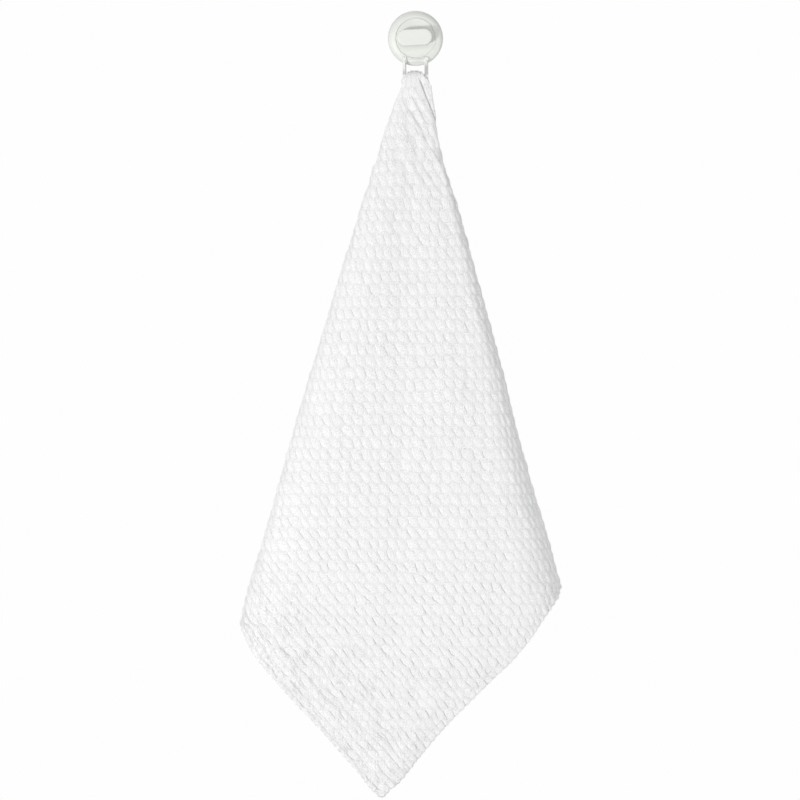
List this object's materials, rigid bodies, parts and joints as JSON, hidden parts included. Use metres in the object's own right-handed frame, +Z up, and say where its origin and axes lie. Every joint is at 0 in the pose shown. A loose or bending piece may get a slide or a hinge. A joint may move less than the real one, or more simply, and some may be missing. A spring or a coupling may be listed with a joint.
{
  "type": "waffle bath towel hanging by a corner on a twist-lock suction hook",
  "caption": "Square waffle-weave towel hung by a corner, its sides folded back behind the front, on a round twist-lock suction hook with a bar.",
  "frame": {"origin": "middle of the suction cup's flat back, on the wall", "axes": "+Y into the wall, +Z up, +X to the right for someone who faces the wall"},
  "size_m": [0.4087, 0.0705, 1.0002],
  "materials": {
    "cup_rubber": "soft white moulded rubber, slightly dull",
    "hook_plastic": "satin off-white moulded plastic with a faint cool tint",
    "waffle_cloth": "white waffle weave of soft oval puffs and pits, with stitched hems"
  },
  "bodies": {
    "root": {"suction_cup": "cup_rubber", "hook_cover": "hook_plastic", "turn_dial": "hook_plastic", "twist_knob": "hook_plastic", "towel_bracket": "hook_plastic", "bath_towel": "waffle_cloth"}
  },
  "joints": []
}
